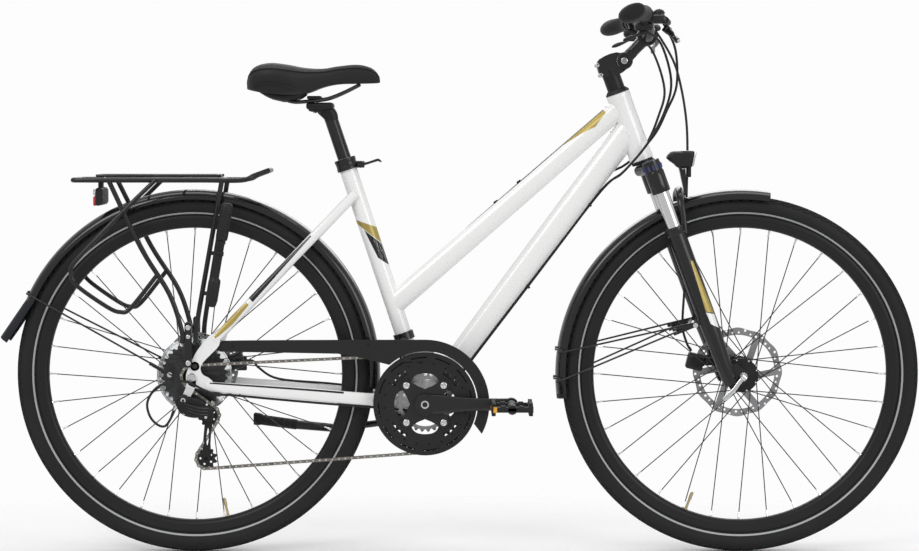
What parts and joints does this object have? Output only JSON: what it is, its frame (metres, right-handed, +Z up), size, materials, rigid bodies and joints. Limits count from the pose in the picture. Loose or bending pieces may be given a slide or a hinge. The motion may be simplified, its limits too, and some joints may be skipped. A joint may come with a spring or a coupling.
{
  "type": "touring bicycle",
  "caption": "Upright touring bicycle with sprung fork, adjustable stem, disc brakes, derailleur gears, fenders, carrier, lights, pump and kickstand.",
  "frame": {"origin": "on the ground midway between the ends of the bicycle, in its middle plane", "axes": "+X forward along the direction of travel, +Y to the rider's left, +Z up; the chain side is -Y"},
  "size_m": [1.832, 0.657, 1.0824],
  "materials": {
    "bottom_bracket": "brushed",
    "brake_lever_left": "satin black",
    "brake_lever_right": "satin black",
    "carrier": "satin black",
    "cassette": "brushed",
    "chain": "brushed",
    "chain_cover": "satin black moulding",
    "chainrings": "satin black",
    "control_left": "satin black moulding",
    "control_right": "satin black moulding",
    "crank_left": "satin black",
    "crank_right": "satin black",
    "deck_flap": "satin black",
    "derailleur_cage": "satin black",
    "fork_lowers": "satin black",
    "fork_upper": "satin black",
    "front_axle": "polished",
    "front_brake_hose": "matt black",
    "front_caliper": "satin black",
    "front_derailleur": "satin black",
    "front_fender": "satin black moulding",
    "front_fender_stays": "satin black",
    "front_hub": "satin black",
    "front_release_lever": "polished",
    "front_rim": "satin black",
    "front_rotor": "brushed",
    "front_tyre": "matt black with a pale reflective stripe",
    "grip_left": "matt black",
    "grip_right": "matt black",
    "handlebar": "satin black",
    "headlight": "satin black moulding",
    "kickstand_leg": "satin black",
    "main_frame": "gloss white lacquer",
    "pedal_left": "satin black moulding",
    "pedal_right": "satin black moulding",
    "pulley_lower": "satin black moulding",
    "pulley_upper": "satin black moulding",
    "pump_barrel": "satin black moulding",
    "pump_handle": "satin black moulding",
    "rear_axle": "polished",
    "rear_brake_hose": "matt black",
    "rear_caliper": "satin black",
    "rear_derailleur": "satin black",
    "rear_fender": "satin black moulding",
    "rear_fender_stays": "satin black",
    "rear_hub": "satin black",
    "rear_light": "clear red",
    "rear_rim": "satin black",
    "rear_rotor": "brushed",
    "rear_tyre": "matt black with a pale reflective stripe",
    "saddle": "black synthetic cover",
    "saddle_rails": "brushed",
    "seat_collar": "satin black",
    "seat_lever": "satin black",
    "seatpost": "satin black",
    "shift_cables": "matt black",
    "shift_lever_left": "satin black moulding",
    "shift_lever_right": "satin black moulding",
    "stem_arm": "satin black",
    "stem_base": "satin black"
  },
  "bodies": {
    "frame": {"main_frame": "main_frame", "bottom_bracket": "bottom_bracket", "chain": "chain", "chain_cover": "chain_cover", "rear_fender": "rear_fender", "rear_fender_stays": "rear_fender_stays", "carrier": "carrier", "rear_light": "rear_light", "seat_collar": "seat_collar", "rear_caliper": "rear_caliper", "rear_axle": "rear_axle", "front_derailleur": "front_derailleur", "pump_barrel": "pump_barrel", "shift_cables": "shift_cables", "rear_brake_hose": "rear_brake_hose"},
    "steering": {"fork_upper": "fork_upper", "stem_base": "stem_base"},
    "cockpit": {"stem_arm": "stem_arm", "handlebar": "handlebar", "grip_left": "grip_left", "grip_right": "grip_right", "control_left": "control_left", "control_right": "control_right"},
    "lowers": {"fork_lowers": "fork_lowers", "front_fender": "front_fender", "front_fender_stays": "front_fender_stays", "headlight": "headlight", "front_caliper": "front_caliper", "front_axle": "front_axle", "front_brake_hose": "front_brake_hose"},
    "front_wheel": {"front_tyre": "front_tyre", "front_rim": "front_rim", "front_hub": "front_hub", "front_rotor": "front_rotor"},
    "rear_wheel": {"rear_tyre": "rear_tyre", "rear_rim": "rear_rim", "rear_hub": "rear_hub", "rear_rotor": "rear_rotor", "cassette": "cassette"},
    "crankset": {"crank_right": "crank_right", "crank_left": "crank_left", "chainrings": "chainrings"},
    "right_pedal": {"pedal_right": "pedal_right"},
    "left_pedal": {"pedal_left": "pedal_left"},
    "right_brake_lever": {"brake_lever_right": "brake_lever_right"},
    "left_brake_lever": {"brake_lever_left": "brake_lever_left"},
    "right_shift_lever": {"shift_lever_right": "shift_lever_right"},
    "left_shift_lever": {"shift_lever_left": "shift_lever_left"},
    "seat": {"seatpost": "seatpost", "saddle": "saddle", "saddle_rails": "saddle_rails"},
    "seat_clamp_lever": {"seat_lever": "seat_lever"},
    "derailleur": {"rear_derailleur": "rear_derailleur"},
    "cage": {"derailleur_cage": "derailleur_cage"},
    "upper_pulley": {"pulley_upper": "pulley_upper"},
    "lower_pulley": {"pulley_lower": "pulley_lower"},
    "kickstand": {"kickstand_leg": "kickstand_leg"},
    "flap": {"deck_flap": "deck_flap"},
    "pump": {"pump_handle": "pump_handle"},
    "release_lever": {"front_release_lever": "front_release_lever"}
  },
  "joints": [
    {"name": "steer", "type": "hinge", "parent": "frame", "child": "steering", "pos_m": [0.36264, 0, 0.78298], "axis": [-0.3437, 0, 0.9391], "range_deg": [-50, 50], "deforming": ["shift_cables", "rear_brake_hose", "front_brake_hose"]},
    {"name": "stem_angle", "type": "hinge", "parent": "steering", "child": "cockpit", "pos_m": [0.32593, 0, 0.97932], "axis": [0, 1, 0], "range_deg": [-10, 35], "deforming": ["shift_cables", "rear_brake_hose", "front_brake_hose"]},
    {"name": "fork_travel", "type": "slide", "parent": "steering", "child": "lowers", "axis": [-0.3437, 0, 0.9391], "range_m": [0, 0.05], "stiffness_N_per_m": 9000, "springref_m": -0.012, "deforming": ["front_brake_hose"]},
    {"name": "front_wheel_spin", "type": "hinge", "parent": "lowers", "child": "front_wheel", "pos_m": [0.56, 0, 0.356], "axis": [0, 1, 0], "continuous": true},
    {"name": "rear_wheel_spin", "type": "hinge", "parent": "frame", "child": "rear_wheel", "pos_m": [-0.527, 0, 0.356], "axis": [0, 1, 0], "continuous": true},
    {"name": "crank_spin", "type": "hinge", "parent": "frame", "child": "crankset", "pos_m": [-0.068, 0, 0.303], "axis": [0, 1, 0], "continuous": true},
    {"name": "right_pedal_spin", "type": "hinge", "parent": "crankset", "child": "right_pedal", "pos_m": [0.102, -0.132, 0.303], "axis": [0, 1, 0], "continuous": true},
    {"name": "left_pedal_spin", "type": "hinge", "parent": "crankset", "child": "left_pedal", "pos_m": [-0.238, 0.132, 0.303], "axis": [0, 1, 0], "continuous": true},
    {"name": "right_brake_pull", "type": "hinge", "parent": "cockpit", "child": "right_brake_lever", "pos_m": [0.39811, -0.158, 1.0346], "axis": [-0.6273, 0, -0.7788], "range_deg": [0, 18], "stiffness_Nm_per_rad": 1.2, "springref_deg": -5.73, "deforming": ["rear_brake_hose"]},
    {"name": "left_brake_pull", "type": "hinge", "parent": "cockpit", "child": "left_brake_lever", "pos_m": [0.39811, 0.158, 1.0346], "axis": [0.6273, 0, 0.7788], "range_deg": [0, 18], "stiffness_Nm_per_rad": 1.2, "springref_deg": -5.73, "deforming": ["front_brake_hose"]},
    {"name": "right_shift", "type": "hinge", "parent": "cockpit", "child": "right_shift_lever", "pos_m": [0.35311, -0.158, 1.0323], "axis": [0, 0, -1], "range_deg": [0, 22], "stiffness_Nm_per_rad": 0.4, "springref_deg": -5.73, "deforming": ["shift_cables"]},
    {"name": "left_shift", "type": "hinge", "parent": "cockpit", "child": "left_shift_lever", "pos_m": [0.35311, 0.158, 1.0323], "axis": [0, 0, 1], "range_deg": [0, 22], "stiffness_Nm_per_rad": 0.4, "springref_deg": -5.73, "deforming": ["shift_cables"]},
    {"name": "seat_height", "type": "slide", "parent": "frame", "child": "seat", "axis": [-0.3156, 0, 0.9489], "range_m": [-0.07, 0.07]},
    {"name": "seat_clamp", "type": "hinge", "parent": "frame", "child": "seat_clamp_lever", "pos_m": [-0.19638, -0.0108, 0.77459], "axis": [0, 1, 0], "range_deg": [0, 60]},
    {"name": "derailleur_pivot", "type": "hinge", "parent": "frame", "child": "derailleur", "pos_m": [-0.543, -0.081, 0.312], "axis": [0, 1, 0], "range_deg": [-4, 12], "stiffness_Nm_per_rad": 6, "deforming": ["chain", "shift_cables"]},
    {"name": "cage_pivot", "type": "hinge", "parent": "derailleur", "child": "cage", "pos_m": [-0.495, -0.059, 0.279], "axis": [0, 1, 0], "range_deg": [-35, 10], "stiffness_Nm_per_rad": 2, "deforming": ["chain"]},
    {"name": "upper_pulley_spin", "type": "hinge", "parent": "cage", "child": "upper_pulley", "pos_m": [-0.495, -0.059, 0.279], "axis": [0, 1, 0], "continuous": true},
    {"name": "lower_pulley_spin", "type": "hinge", "parent": "cage", "child": "lower_pulley", "pos_m": [-0.501, -0.059, 0.194], "axis": [0, 1, 0], "continuous": true},
    {"name": "kickstand_fold", "type": "hinge", "parent": "frame", "child": "kickstand", "pos_m": [-0.115, 0.05, 0.262], "axis": [0, -0.9003, -0.4352], "range_deg": [0, 115]},
    {"name": "flap_lift", "type": "hinge", "parent": "frame", "child": "flap", "pos_m": [-0.4783, 0, 0.7523], "axis": [0, 1, 0], "range_deg": [0, 80], "stiffness_Nm_per_rad": 0.35, "springref_deg": -34.38},
    {"name": "pump_draw", "type": "slide", "parent": "frame", "child": "pump", "axis": [0.1668, 0, 0.986], "range_m": [0, 0.1]},
    {"name": "front_release", "type": "hinge", "parent": "lowers", "child": "release_lever", "pos_m": [0.56, -0.0716, 0.356], "axis": [-0.7547, 0, 0.6561], "range_deg": [0, 120]}
  ],
  "couplings": [
    {"joint": "crank_spin", "follows": "rear_wheel_spin", "ratio": 0.22917},
    {"joint": "upper_pulley_spin", "follows": "rear_wheel_spin", "ratio": -1.1},
    {"joint": "lower_pulley_spin", "follows": "rear_wheel_spin", "ratio": 1.1}
  ]
}
